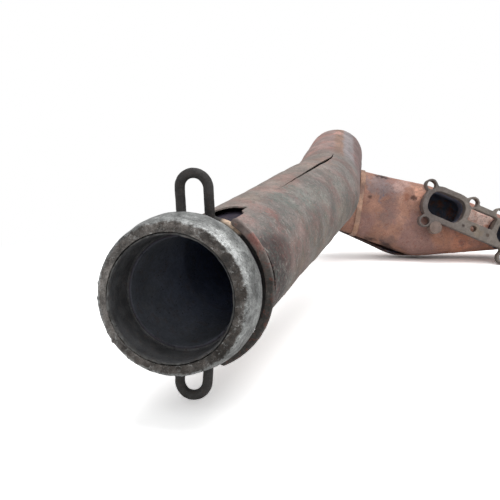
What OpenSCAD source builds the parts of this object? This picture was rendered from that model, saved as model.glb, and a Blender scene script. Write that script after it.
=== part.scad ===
// Corroded exhaust outlet pipe with its manifold.
// Frame: origin at the centre of the outlet's open mouth, +Y in through the mouth and along the
// pipe, +X to the right as seen from the mouth, +Z up. The part lies at rest on a level floor.

/* [Outlet] */
// Bore of the outlet sleeve
outlet_bore_d = 54; // [50:0.5:55]
// How far the outlet axis drops towards the back, degrees
outlet_drop = 3; // [0:0.5:4]
// Wall of the outlet sleeve
sleeve_wall = 1.4; // [1:0.1:1.6]
// Length of the outlet sleeve
sleeve_length = 30; // [27:0.5:30]
// Largest diameter of the seat ring
seat_d = 72.8; // [68:0.2:74]
// Diameter of the seat ring where its front face ends
seat_face_d = 66.8; // [64:0.2:67]
// Length of the seat ring along the outlet
seat_length = 21; // [19:0.5:22]
// How far the seat ring's front edge stands back from the mouth
seat_setback = 2.6; // [2:0.1:3]

/* [Wire flange] */
// Diameter of the wire
wire_d = 5; // [4:0.1:5.4]
// Clear width of each bolt eye
eye_gap = 8.8; // [8.4:0.1:10]
// Outermost reach of the upper eye from the outlet axis
upper_eye_reach = 55.8; // [50:0.5:58]
// Outermost reach of the lower eye from the outlet axis
lower_eye_reach = 54.2; // [50:0.5:56]
// Distance of the wire's ring behind the mouth
wire_setback = 36.5; // [36:0.1:37]
// How far the eyes lean forward, degrees
eye_lean = 11; // [8:1:18]

/* [Stop collar] */
// Outer diameter of the open collar
collar_d = 79.4; // [76:0.2:82]
// Width of the collar's strip
collar_width = 4.2; // [3.4:0.2:6]
// Thickness of the collar
collar_thick = 2; // [1.5:0.1:2.5]
// Distance of the collar behind the mouth
collar_setback = 30.2; // [30:0.1:31]
// Clock angle at which the collar begins, seen from the mouth
collar_from = 34.5; // [25:0.5:40]
// Clock angle at which the collar ends
collar_to = 155; // [145:1:160]

/* [Pipe] */
// Outside diameter of the inner pipe
pipe_d = 52; // [50:0.2:52.4]
// Wall of the inner pipe
pipe_wall = 1; // [0.8:0.1:1.6]
// Depth at which the inner pipe starts inside the sleeve
pipe_start = 20; // [18:1:22]

/* [Heat shield] */
// Outside diameter of the heat shield along its straight run
shield_d = 60.6; // [59:0.2:62]
// Outside diameter of the heat shield round the elbow
elbow_shield_d = 56.6; // [56.4:0.2:60]
// Wall of the heat shield
shield_wall = 0.8; // [0.8:0.1:1.4]
// Clock angle of the seam along the top of the shield, seen from the mouth
seam_angle = 15.2; // [13:0.1:22]
// Widest opening of the slit between the halves
slit_width = 2.2; // [1:0.1:4]
// Radius of the notch in the left half's front corner
notch_r = 13; // [8:0.5:14]
// Radius of the slot in the right half's front corner
slot_r = 2.2; // [1.6:0.2:4]

/* [Manifold] */
// Half thickness of the manifold body
body_half = 30; // [24:1:32]
// Wall of the manifold body
body_wall = 3; // [2:0.1:4]
// Distance from the flange face back to the body's seam
body_setback = 47; // [42:1:48]

/* [Port flange] */
// Distance between the two ports
port_pitch = 84; // [82:1:88]
// Width of each port opening
port_w = 41.5; // [38:0.5:43]
// Height of each port opening
port_h = 27; // [26:0.5:30]
// Corner radius of each port opening
port_corner = 10.5; // [9:0.5:13]
// Wall of the tube behind each port
port_tube_wall = 3; // [2:0.5:4]
// Width of the plate's border round each port
plate_border = 6.5; // [5.5:0.1:7]
// Thickness of the flange plate
flange_thick = 10; // [6:0.5:12]
// Diameter of the stud holes
stud_hole_d = 9; // [8.4:0.1:10]
// Radius of the ears round the stud holes
ear_r = 7.3; // [7:0.1:9]
// Diameter of the plain hole in the lower link
link_hole_d = 6.5; // [5:0.5:8]

/* [Hidden] */
$fn = 64;

outlet_r = outlet_bore_d / 2;
// How far the right half reaches in front of the left half.
right_reach = 13.5;
sleeve_r = outlet_r + sleeve_wall;
seat_r = seat_d / 2;
wire_r = wire_d / 2;
leg_x = (eye_gap + wire_d) / 2;
pipe_r = pipe_d / 2;
// The ring of wire is oval, for it goes round the pipe where the pipe runs aslant.
wire_centre = [3.2, -1.7];
wire_oval = [pipe_r + wire_r + 3.7, pipe_r + wire_r + 1.5];
// How far the eyes stand to the right of the outlet axis.
eye_shift = 0.9;
wire_bend_r = 3;
shield_r = shield_d / 2;
elbow_r = elbow_shield_d / 2;

// Corner points of the pipe's centreline, from the mouth to the manifold.
outlet_dir = [0, cos(outlet_drop), -sin(outlet_drop)];
pipe_corners = [
    outlet_dir * pipe_start,
    outlet_dir * 29,
    [11.5, 54, 3.5],
    [43.5, 252, 30.7],
    [44.2, 434, 66.2],
    [39.5, 478, 6],
];
bend_radii = [0, 28, 28, 120, 60];

// Where the manifold's flange stands: the centre of port 1 on the flange face,
// and how the flange is turned from lying flat.
flange_place = [166.3, 457.4, 4.5];
flange_turn = [80.3, 22.6, 7.8];
// Stud holes of each port, from the port's centre.
stud_holes = [
    [[-25, 16.2], [26.3, 16], [-16.3, -23.6]],
    [[-25, 16.2], [26.3, 16], [-3.4, -27.8]],
];

// ---- Functions for swept shells ----

function unit(v) = v / norm(v);

// Points of an arc of radius r that rounds the corner b between a and c.
function fillet(a, b, c, r, steps) =
    let (
        d1 = unit(b - a),
        d2 = unit(c - b),
        bend = acos(d1 * d2),
        side = unit(d2 - d1 * (d1 * d2)),
        centre = b - d1 * r * tan(bend / 2) + side * r
    )
    [for (i = [0:steps]) centre - side * r * cos(bend * i / steps) + d1 * r * sin(bend * i / steps)];

function between(a, b, steps) = [for (i = [1:steps - 1]) a + (b - a) * i / steps];

function tangent(path, i) =
    i == 0 ? unit(path[1] - path[0]) :
    i == len(path) - 1 ? unit(path[i] - path[i - 1]) :
    unit(unit(path[i] - path[i - 1]) + unit(path[i + 1] - path[i]));

// The direction called up at each ring, carried along the path without twisting.
function ups(path, i, last) =
    i == len(path) ? [] :
    let (t = tangent(path, i), up = unit(last - t * (last * t)))
    concat([up], ups(path, i + 1, up));

// A point at clock angle a and radius r from ring centre p.
function on_ring(p, up, t, a, r) = p + r * (cos(a) * up + sin(a) * cross(t, up));

bend_1 = fillet(pipe_corners[0], pipe_corners[1], pipe_corners[2], bend_radii[1], 3);
bend_2 = fillet(pipe_corners[1], pipe_corners[2], pipe_corners[3], bend_radii[2], 3);
bend_3 = fillet(pipe_corners[2], pipe_corners[3], pipe_corners[4], bend_radii[3], 4);
bend_4 = fillet(pipe_corners[3], pipe_corners[4], pipe_corners[5], bend_radii[4], 10);
straight_start = pipe_corners[2];
straight_end = bend_3[0];
straight_dir = unit(straight_end - straight_start);
shield_path = concat([straight_start], between(straight_start, straight_end, 10), bend_3, bend_4,
    [pipe_corners[5]]);
right_path = concat([straight_start - straight_dir * right_reach], shield_path);
pipe_path = concat([pipe_corners[0]], bend_1, bend_2, bend_3, bend_4, [pipe_corners[5]]);

// ---- Shared shapes ----

// Local +Z runs in along the outlet; local -Y is up.
module outlet_frame() rotate([-90 - outlet_drop, 0, 0]) children();

// Local +X runs along the ports, +Y up the flange, +Z out of its face.
module flange_frame() translate(flange_place) rotate(flange_turn) children();

// A closed tube or solid rod swept along a path.
module swept_tube(path, r_out, r_in, sides) {
    n = len(path);
    up = ups(path, 0, [0, 0, 1]);
    loops = r_in > 0 ? [r_out, r_in] : [r_out];
    points = [for (r = loops) for (i = [0:n - 1]) for (k = [0:sides - 1])
        on_ring(path[i], up[i], tangent(path, i), k * 360 / sides, r)];
    inner = n * sides;
    outside = [for (i = [0:n - 2]) for (k = [0:sides - 1]) let (m = (k + 1) % sides)
        [i * sides + k, (i + 1) * sides + k, (i + 1) * sides + m, i * sides + m]];
    inside = r_in > 0 ? [for (i = [0:n - 2]) for (k = [0:sides - 1]) let (m = (k + 1) % sides)
        [inner + i * sides + m, inner + (i + 1) * sides + m, inner + (i + 1) * sides + k,
            inner + i * sides + k]] : [];
    last = (n - 1) * sides;
    ends = r_in > 0 ?
        [for (k = [0:sides - 1]) let (m = (k + 1) % sides) each [
            [k, m, inner + m, inner + k],
            [last + m, last + k, inner + last + k, inner + last + m]]] :
        [[for (k = [0:sides - 1]) k], [for (k = [sides - 1:-1:0]) last + k]];
    polyhedron(points, concat(outside, inside, ends));
}

// Half a shell swept along a path, from clock angle from_a to to_a at each ring.
module swept_half(path, radii, wall, from_a, to_a, steps) {
    n = len(path);
    up = ups(path, 0, [0, 0, 1]);
    loop = 2 * (steps + 1);
    order = concat([for (k = [0:steps]) [k, 0]], [for (k = [steps:-1:0]) [k, wall]]);
    points = [for (i = [0:n - 1]) let (t = tangent(path, i)) for (o = order)
        on_ring(path[i], up[i], t, from_a[i] + (to_a[i] - from_a[i]) * o[0] / steps,
            radii[i] - o[1])];
    walls = [for (i = [0:n - 2]) for (k = [0:loop - 1]) let (m = (k + 1) % loop)
        [i * loop + k, (i + 1) * loop + k, (i + 1) * loop + m, i * loop + m]];
    last = (n - 1) * loop;
    ends = [for (k = [0:steps - 1]) each [
        [k, k + 1, loop - 2 - k, loop - 1 - k],
        [last + k + 1, last + k, last + loop - 1 - k, last + loop - 2 - k]]];
    polyhedron(points, concat(walls, ends));
}

// Turns +Z to point along v.
module pointing(v) rotate([0, acos(v[2] / norm(v)), atan2(v[1], v[0])]) children();

// ---- Outlet ----

module seat_ring() color([0.45, 0.44, 0.43]) outlet_frame() {
    face_r = seat_face_d / 2;
    back = seat_setback + seat_length;
    rotate_extrude($fn = 96) polygon([
        [sleeve_r, 0.8],
        [face_r - 2, seat_setback - 1.2],
        [face_r, seat_setback],
        [seat_r - 1, seat_setback + 9],
        [seat_r, seat_setback + 16],
        [seat_r - 0.6, back - 1.5],
        [seat_r - 3, back],
        [sleeve_r, back],
    ]);
}

module outlet_sleeve() color([0.36, 0.32, 0.30]) outlet_frame() {
    difference() {
        cylinder(r = sleeve_r, h = sleeve_length, $fn = 96);
        translate([0, 0, -1]) cylinder(r = outlet_r, h = pipe_start + 1, $fn = 96);
        cylinder(r = pipe_r + 0.05, h = sleeve_length + 1, $fn = 96);
    }
}

// A point of the wire's oval ring where its x is x; side is 1 below and -1 above.
function oval_at(x, side) = [x, wire_centre[1] + side * wire_oval[1] *
    sqrt(1 - pow((x - wire_centre[0]) / wire_oval[0], 2)), 0];

// Half of the oval between two places x, on the side given by turn.
function oval_run(turn) = [for (a = [-69:6:69])
    [wire_centre[0] + turn * wire_oval[0] * cos(a), wire_centre[1] + turn * wire_oval[1] * sin(a), 0]];

// One bolt eye from its first foot to its second; reach is measured to its outer edge.
function eye_run(reach, side, turn) =
    let (
        feet = [for (k = [turn, -turn]) oval_at(eye_shift + k * leg_x, side)],
        base = side * feet[0][1],
        bow_h = (reach - base) / cos(eye_lean) - wire_r - leg_x,
        lean = [0, side * cos(eye_lean), -sin(eye_lean)],
        foot_mid = [eye_shift, side * base, 0],
        near = [for (k = [0, 1]) let (x = feet[k][0] + (k == 0 ? turn : -turn) * 4) oval_at(x, side)],
        tops = [for (k = [turn, -turn]) foot_mid + lean * bow_h + [k * leg_x, 0, 0]]
    )
    concat(
        fillet(near[0], feet[0], tops[0], wire_bend_r, 4),
        [for (a = [0:12:180]) foot_mid + lean * (bow_h + leg_x * sin(a)) +
            [turn * leg_x * cos(a), 0, 0]],
        fillet(tops[1], feet[1], near[1], wire_bend_r, 4)
    );

// A rod whose centreline closes on itself, lying near the XY plane.
module closed_wire(path, r, sides) {
    n = len(path);
    points = [for (i = [0:n - 1])
        let (
            t = unit(unit(path[(i + 1) % n] - path[i]) + unit(path[i] - path[(i + n - 1) % n])),
            up = unit([0, 0, 1] - t * t[2])
        )
        for (k = [0:sides - 1]) on_ring(path[i], up, t, k * 360 / sides, r)];
    polyhedron(points, [for (i = [0:n - 1]) for (k = [0:sides - 1])
        let (m = (k + 1) % sides, j = (i + 1) % n)
        [i * sides + k, j * sides + k, j * sides + m, i * sides + m]]);
}

module wire_flange() color([0.13, 0.12, 0.12]) outlet_frame() translate([0, 0, wire_setback])
    closed_wire(concat(
        oval_run(1),
        eye_run(lower_eye_reach, 1, 1),
        oval_run(-1),
        eye_run(upper_eye_reach, -1, -1)
    ), wire_r, 16);

module stop_collar() color([0.30, 0.25, 0.23]) outlet_frame()
    translate([0, 0, collar_setback]) {
        mid_r = (collar_d - collar_width) / 2;
        rotate([0, 0, collar_from - 90]) rotate_extrude(angle = collar_to - collar_from, $fn = 96)
            translate([mid_r - collar_width / 2, 0]) square([collar_width, collar_thick]);
        for (a = [collar_from, collar_to]) rotate([0, 0, a - 90]) translate([mid_r, 0, 0])
            cylinder(r = collar_width / 2, h = collar_thick, $fn = 48);
    }

// ---- Pipe and heat shield ----

module inner_pipe() color([0.42, 0.33, 0.28])
    swept_tube(pipe_path, pipe_r, pipe_r - pipe_wall, 40);

// Radius of the shield at each ring: full along the straight run, tighter round the elbow.
function shield_radii(path) = [for (p = path)
    shield_r + (elbow_r - shield_r) * min(1, max(0, (p[1] - straight_end[1]) / 70))];

// The slit opens along the straight run, from nothing to its full width at the bend.
closed_a = 0.15;
slit_from_y = 118;
function slit_half(p) = p[1] > straight_end[1] + 12 ? closed_a :
    max(closed_a, slit_width / shield_r * 90 / PI * (p[1] - slit_from_y) /
        (straight_end[1] - slit_from_y));

// A round hole of radius r through the seam line at p.
module seam_hole(p, r) {
    t = straight_dir;
    up = unit([0, 0, 1] - t * t[2]);
    translate(p) pointing(on_ring([0, 0, 0], up, t, seam_angle, 1))
        cylinder(r = r, h = 60, $fn = 32);
}

module shield_left() color([0.36, 0.31, 0.29]) difference() {
    swept_half(shield_path, shield_radii(shield_path), shield_wall,
        [for (p = shield_path) seam_angle - 180 + closed_a],
        [for (p = shield_path) seam_angle - slit_half(p)], 20);
    seam_hole(straight_start, notch_r);
}

// The right half's slot ends a little behind the left half's front edge.
module shield_right() color([0.33, 0.32, 0.31]) difference() {
    swept_half(right_path, shield_radii(right_path), shield_wall,
        [for (p = right_path) seam_angle + slit_half(p)],
        [for (p = right_path) seam_angle + 180 - closed_a], 20);
    hull() for (along = [-right_reach - 5, 2.5])
        seam_hole(straight_start + straight_dir * along, slot_r);
}

// ---- Manifold ----

// Rounded disc, the building block of the body's outline.
module pebble(x, y, r, half) {
    edge = min(half, r) * 0.6;
    translate([x, y, 0]) rotate_extrude($fn = 36) polygon(concat(
        [[0, -half]],
        [for (a = [-90:18:0]) [r - edge + edge * cos(a), -half + edge + edge * sin(a)]],
        [for (a = [0:18:90]) [r - edge + edge * cos(a), half - edge + edge * sin(a)]],
        [[0, half]]));
}

module body_solid(inset, bulge = 0) translate([0, 0, -body_setback]) hull() {
    pebble(-96, -30, 37 - inset, body_half - inset);
    pebble(-16, -20.5, 42.5 - inset, body_half - inset);
    pebble(-16 - bulge, -20.5 - 0.4 * bulge, 42.5 - inset, body_half - inset);
    pebble(port_pitch, 4, 18.4 - inset, body_half - 4 - inset);
}

// The rear half bulges further to the left below, and the part rests on that bulge.
rear_bulge = 15;

module body_shell(bulge) difference() {
    flange_frame() difference() {
        body_solid(0, bulge);
        body_solid(body_wall, bulge);
        for (i = [0, 1]) translate([i * port_pitch, 0, -30]) linear_extrude(40)
            port_outline(port_tube_wall + 0.4);
    }
    swept_tube(concat(bend_4, [pipe_corners[5]]), elbow_r + 0.1, 0, 40);
}

module manifold_front_shell() color([0.40, 0.24, 0.18]) intersection() {
    body_shell(0);
    flange_frame() translate([-200, -200, -body_setback]) cube([400, 400, 100]);
}

module manifold_rear_shell() color([0.36, 0.22, 0.17]) intersection() {
    body_shell(rear_bulge);
    flange_frame() translate([-200, -200, -body_setback - 100]) cube([400, 400, 100]);
}

module neck_band() color([0.62, 0.42, 0.30]) difference() {
    flange_frame() intersection() {
        difference() {
            body_solid(-1.2);
            body_solid(0);
        }
        translate([-93.6, -14, 0]) rotate([0, 0, 14.6]) translate([-3, -100, -body_setback])
            cube([6, 200, 100]);
    }
    swept_tube(concat(bend_4, [pipe_corners[5]]), elbow_r + 0.1, 0, 40);
}

module manifold_tab() color([0.12, 0.11, 0.11]) flange_frame()
    translate([-82, 8.2, -body_setback]) rotate([0, 0, 10.6]) cube([16, 3.4, 3]);

// Rounded oblong of one port, grown all round by grow.
module port_outline(grow) {
    r = port_corner + grow;
    corners = [[1, 1, 0], [-1, 1, 90], [-1, -1, 180], [1, -1, 270]];
    polygon([for (c = corners) for (a = [0:15:90])
        [c[0] * (port_w / 2 - port_corner) + r * cos(c[2] + a),
         c[1] * (port_h / 2 - port_corner) + r * sin(c[2] + a)]]);
}

module port_tube(i) color([0.38, 0.25, 0.20]) flange_frame() translate([i * port_pitch, 0, -26])
    linear_extrude(26 - flange_thick) difference() {
        port_outline(port_tube_wall);
        port_outline(0);
    }

module port_tube_1() port_tube(0);
module port_tube_2() port_tube(1);

// Outline of the plate round one port: a frame and an ear for each stud.
module port_plate(holes) {
    neck = 0.9 * ear_r;
    port_outline(plate_border);
    for (p = holes) {
        translate(p) circle(r = ear_r, $fn = 48);
        rotate([0, 0, atan2(p[1], p[0])]) translate([0, -neck]) square([norm(p), 2 * neck]);
    }
}

module port_flange() color([0.28, 0.27, 0.26]) flange_frame() translate([0, 0, -flange_thick])
    difference() {
        linear_extrude(flange_thick) difference() {
            union() {
                for (i = [0, 1]) translate([i * port_pitch, 0]) port_plate(stud_holes[i]);
                translate([26, 10]) square([port_pitch - 52, 6.4]);
                translate([15, -20]) square([port_pitch - 30, 16]);
            }
            for (i = [0, 1]) translate([i * port_pitch, 0]) port_outline(0);
        }
        for (i = [0, 1]) for (p = stud_holes[i]) translate([i * port_pitch + p[0], p[1], -1])
            cylinder(d = stud_hole_d, h = flange_thick + 2, $fn = 48);
        translate([37.2, -11, -1]) cylinder(d = link_hole_d, h = flange_thick + 2, $fn = 48);
    }

module flange_plug() color([0.30, 0.30, 0.29]) flange_frame()
    translate([-2.4, -25.9, -flange_thick - 2]) cylinder(r = 7.2, h = flange_thick + 1.6, $fn = 48);

seat_ring();
outlet_sleeve();
wire_flange();
stop_collar();
inner_pipe();
shield_left();
shield_right();
manifold_front_shell();
manifold_rear_shell();
neck_band();
manifold_tab();
port_tube_1();
port_tube_2();
port_flange();
flange_plug();
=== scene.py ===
"""Looks of a corroded exhaust outlet pipe with its manifold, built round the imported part."""

import logging
import math
from dataclasses import dataclass, field
from enum import Enum
from typing import Callable, Sequence

import bmesh
import bpy
from mathutils import Euler, Matrix, Vector, noise


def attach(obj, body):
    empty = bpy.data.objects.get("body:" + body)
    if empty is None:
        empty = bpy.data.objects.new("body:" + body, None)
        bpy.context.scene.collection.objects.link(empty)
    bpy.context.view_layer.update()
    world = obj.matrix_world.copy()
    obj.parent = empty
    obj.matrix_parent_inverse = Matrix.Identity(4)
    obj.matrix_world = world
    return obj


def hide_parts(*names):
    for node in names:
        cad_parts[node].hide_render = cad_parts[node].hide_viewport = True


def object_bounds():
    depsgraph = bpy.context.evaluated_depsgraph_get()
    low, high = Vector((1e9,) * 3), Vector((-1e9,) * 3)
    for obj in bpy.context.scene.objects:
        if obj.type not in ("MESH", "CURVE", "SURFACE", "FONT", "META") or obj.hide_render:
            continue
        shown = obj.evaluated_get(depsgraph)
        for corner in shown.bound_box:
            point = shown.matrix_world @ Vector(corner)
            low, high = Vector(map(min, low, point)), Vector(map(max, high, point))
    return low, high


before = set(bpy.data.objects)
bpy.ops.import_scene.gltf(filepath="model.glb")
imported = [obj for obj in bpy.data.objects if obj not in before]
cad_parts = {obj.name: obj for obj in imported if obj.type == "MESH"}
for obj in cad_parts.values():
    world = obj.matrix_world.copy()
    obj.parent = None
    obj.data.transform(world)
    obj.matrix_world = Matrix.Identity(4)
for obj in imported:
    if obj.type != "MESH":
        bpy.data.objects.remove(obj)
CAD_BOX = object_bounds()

LOG = logging.getLogger("exhaust")
MM = 0.001
SAME_POINT = 1e-6  # points nearer than this, in metres, are merged
Color = tuple[float, float, float]


class Grain(Enum):
    """The kinds of unevenness that relief is made with."""

    CLOUDS = "CLOUDS"
    STUCCO = "STUCCI"


# ---------------------------------------------------------------- modelling moves


class Shop:
    """The modelling moves that every piece is made with."""

    @staticmethod
    def clear() -> None:
        """Leaves edit mode and deselects every object."""
        if bpy.context.object and bpy.context.object.mode != "OBJECT":
            bpy.ops.object.mode_set(mode="OBJECT")
        bpy.ops.object.select_all(action="DESELECT")

    @staticmethod
    def hold(piece: bpy.types.Object) -> None:
        """Makes piece the one selected and active object."""
        Shop.clear()
        piece.select_set(True)
        bpy.context.view_layer.objects.active = piece

    @staticmethod
    def name(label: str) -> bpy.types.Object:
        """Names the object just added.

        Args:
            label: the new name.

        Returns:
            The active object.
        """
        piece = bpy.context.object
        piece.name = label
        piece.data.name = label
        return piece

    @staticmethod
    def edit() -> None:
        """Enters edit mode on the active object's points with everything deselected."""
        bpy.ops.object.mode_set(mode="EDIT")
        bpy.ops.mesh.select_mode(type="VERT")
        bpy.ops.mesh.select_all(action="DESELECT")

    @staticmethod
    def tidy(piece: bpy.types.Object) -> None:
        """Merges doubled points and turns every face outwards."""
        Shop.hold(piece)
        Shop.edit()
        bpy.ops.mesh.select_all(action="SELECT")
        bpy.ops.mesh.remove_doubles(threshold=SAME_POINT)
        bpy.ops.mesh.normals_make_consistent(inside=False)
        bpy.ops.object.mode_set(mode="OBJECT")

    @staticmethod
    def apply(piece: bpy.types.Object) -> None:
        """Applies every modifier of piece in order."""
        Shop.hold(piece)
        for modifier in list(piece.modifiers):
            bpy.ops.object.modifier_apply(modifier=modifier.name)

    @staticmethod
    def settle(piece: bpy.types.Object) -> None:
        """Puts the place of piece in its mesh, so that its object sits at the origin."""
        Shop.hold(piece)
        bpy.ops.object.transform_apply(location=True, rotation=True, scale=True)

    @staticmethod
    def smooth(piece: bpy.types.Object, degrees: float = 40) -> None:
        """Shades piece smooth, with edges sharper than the given angle kept."""
        Shop.hold(piece)
        bpy.ops.object.shade_smooth_by_angle(angle=math.radians(degrees))

    @staticmethod
    def weigh(piece: bpy.types.Object, group: str, share: Callable[[Vector], float]) -> None:
        """Gives each point of piece a weight in a vertex group.

        Args:
            piece: the mesh object.
            group: the vertex group's name.
            share: the weight at a point, from 0 to 1.
        """
        weights = piece.vertex_groups.new(name=group)
        for vertex in piece.data.vertices:
            weights.add([vertex.index], max(0.0, min(1.0, share(vertex.co))), "REPLACE")

    @staticmethod
    def relief(piece: bpy.types.Object, grain: Grain, size: float, height: float,
               middle: float = 0.5, group: str = "", depth: int = 2) -> None:
        """Adds a displacement of real geometry to piece.

        Args:
            piece: the mesh object.
            grain: the kind of noise.
            size: the size of its features, in metres.
            height: the full height of the relief, in metres.
            middle: the noise value that leaves the surface where it is.
            group: the vertex group that limits it, or nothing.
            depth: the number of finer layers in clouds.
        """
        label = f"{piece.name}_{grain.name.lower()}_{len(piece.modifiers)}"
        texture = bpy.data.textures.new(label, type=grain.value)
        texture.noise_scale = size
        if grain is Grain.CLOUDS:
            texture.noise_depth = depth
        modifier = piece.modifiers.new(label, "DISPLACE")
        modifier.texture = texture
        modifier.texture_coords = "LOCAL"
        modifier.strength = height
        modifier.mid_level = middle
        if group:
            modifier.vertex_group = group

    @staticmethod
    def wall(piece: bpy.types.Object, thickness: float) -> None:
        """Gives an open surface a wall on its inner side."""
        modifier = piece.modifiers.new("wall", "SOLIDIFY")
        modifier.thickness = thickness
        modifier.offset = -1
        modifier.use_even_offset = False
        modifier.use_quality_normals = True

    @staticmethod
    def remesh(piece: bpy.types.Object, cell: float) -> None:
        """Rebuilds piece as even cells of the given size, in metres."""
        modifier = piece.modifiers.new("cells", "REMESH")
        modifier.mode = "VOXEL"
        modifier.voxel_size = cell
        modifier.use_smooth_shade = True

    @staticmethod
    def ease(piece: bpy.types.Object, factor: float, times: int) -> None:
        """Relaxes the surface of piece."""
        modifier = piece.modifiers.new("ease", "SMOOTH")
        modifier.factor = factor
        modifier.iterations = times

    @staticmethod
    def loft(label: str, rings: Sequence[Sequence[Vector]], closed: bool,
             looped: bool = False) -> bpy.types.Object:
        """Draws a skin by extruding one ring of points from station to station.

        Args:
            label: the new object's name.
            rings: the points of each station, the same number at each.
            closed: whether a ring's last point joins its first.
            looped: whether the last station joins the first.

        Returns:
            The skin, an open surface with faces that point outwards.
        """
        Shop.clear()
        count = len(rings[0])
        bpy.ops.mesh.primitive_circle_add(vertices=count, radius=1, fill_type="NOTHING")
        piece = Shop.name(label)
        Shop.edit()
        mesh = bmesh.from_edit_mesh(piece.data)
        mark = mesh.verts.layers.int.new("place")
        mesh.verts.ensure_lookup_table()
        for index, vertex in enumerate(mesh.verts):
            vertex[mark] = index
            vertex.co = rings[0][index]
        if not closed:
            shut = [e for e in mesh.edges if {v.index for v in e.verts} == {0, count - 1}]
            bmesh.ops.delete(mesh, geom=shut, context="EDGES")
        for vertex in mesh.verts:
            vertex.select = True
        mesh.select_flush(True)
        bmesh.update_edit_mesh(piece.data)
        for ring in rings[1:]:
            bpy.ops.mesh.extrude_region_move()
            mesh = bmesh.from_edit_mesh(piece.data)
            mark = mesh.verts.layers.int["place"]
            for vertex in mesh.verts:
                if vertex.select:
                    vertex.co = ring[vertex[mark]]
        if looped:
            Shop.join_ends(piece)
        bpy.ops.mesh.select_all(action="SELECT")
        bpy.ops.mesh.normals_make_consistent(inside=False)
        bpy.ops.object.mode_set(mode="OBJECT")
        return piece

    @staticmethod
    def join_ends(piece: bpy.types.Object) -> None:
        """Bridges the first ring of a loft, which is in edit mode, to its last one."""
        bpy.ops.mesh.select_all(action="DESELECT")
        bpy.ops.mesh.select_mode(type="EDGE")
        mesh = bmesh.from_edit_mesh(piece.data)
        for edge in mesh.edges:
            if edge.is_boundary:
                edge.select = True
        bmesh.update_edit_mesh(piece.data)
        bpy.ops.mesh.bridge_edge_loops()

    @staticmethod
    def turn(label: str, profile: Sequence[tuple[float, float]], steps: int,
             place: Matrix) -> bpy.types.Object:
        """Turns a closed profile about an axis.

        Args:
            label: the new object's name.
            profile: corners as radius and distance along the axis, in metres.
            steps: the number of segments round the axis.
            place: where the axis stands, its Z being the axis.

        Returns:
            The closed solid.
        """
        Shop.clear()
        bpy.ops.mesh.primitive_circle_add(vertices=len(profile), radius=1, fill_type="NOTHING")
        piece = Shop.name(label)
        Shop.edit()
        mesh = bmesh.from_edit_mesh(piece.data)
        for vertex, (radius, along) in zip(mesh.verts, profile):
            vertex.co = (radius, 0, along)
        bmesh.update_edit_mesh(piece.data)
        bpy.ops.mesh.select_all(action="SELECT")
        bpy.ops.mesh.spin(steps=steps, angle=math.tau, center=(0, 0, 0), axis=(0, 0, 1))
        bpy.ops.mesh.select_all(action="SELECT")
        bpy.ops.mesh.remove_doubles(threshold=SAME_POINT / 10)
        bpy.ops.mesh.normals_make_consistent(inside=False)
        bpy.ops.object.mode_set(mode="OBJECT")
        piece.matrix_world = place
        Shop.settle(piece)
        return piece

    @staticmethod
    def rework(node: str, label: str, cell: float) -> bpy.types.Object:
        """Copies a CAD node's mesh, merges it and rebuilds it as even cells.

        Args:
            node: the CAD node's name.
            label: the new object's name.
            cell: the size of a cell, in metres.

        Returns:
            The copy, closed and ready to be worked.
        """
        Shop.clear()
        source = bpy.data.objects[node]
        piece = bpy.data.objects.new(label, source.data.copy())
        piece.data.name = label
        bpy.context.scene.collection.objects.link(piece)
        piece.data.materials.clear()
        Shop.hold(piece)
        Shop.edit()
        bpy.ops.mesh.select_all(action="SELECT")
        bpy.ops.mesh.remove_doubles(threshold=SAME_POINT)
        bpy.ops.object.mode_set(mode="OBJECT")
        Shop.remesh(piece, cell)
        Shop.apply(piece)
        return piece

    @staticmethod
    def press(piece: bpy.types.Object, move: Callable[[Vector], Vector]) -> None:
        """Moves each point of piece by what move gives for its place."""
        for vertex in piece.data.vertices:
            vertex.co += move(vertex.co)
        piece.data.update()


# ---------------------------------------------------------------- where things are


def mm(x: float, y: float, z: float) -> Vector:
    """Gives a place in metres from millimetres."""
    return Vector((x, y, z)) * MM


MOUTH_LEAN = 3  # how far the outlet's mouth looks up, in degrees
OUTLET = Matrix.Rotation(math.radians(-90 - MOUTH_LEAN), 4, "X")
OUTLET_BACK = OUTLET.inverted()
FLANGE = Matrix.Translation(mm(166.3, 457.4, 4.5)) @ Euler(
    (math.radians(80.3), math.radians(22.6), math.radians(7.8)), "XYZ").to_matrix().to_4x4()
FLANGE_BACK = FLANGE.inverted()
SEAM = 15.2  # where the shield's front seam runs, in degrees round the pipe from the top
ARC_STEP = 1.2  # the distance between points round a bend, in millimetres


def ramp(value: float, low: float, high: float) -> float:
    """Rises smoothly from 0 at low to 1 at high."""
    share = max(0.0, min(1.0, (value - low) / (high - low)))
    return share * share * (3 - 2 * share)


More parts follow.
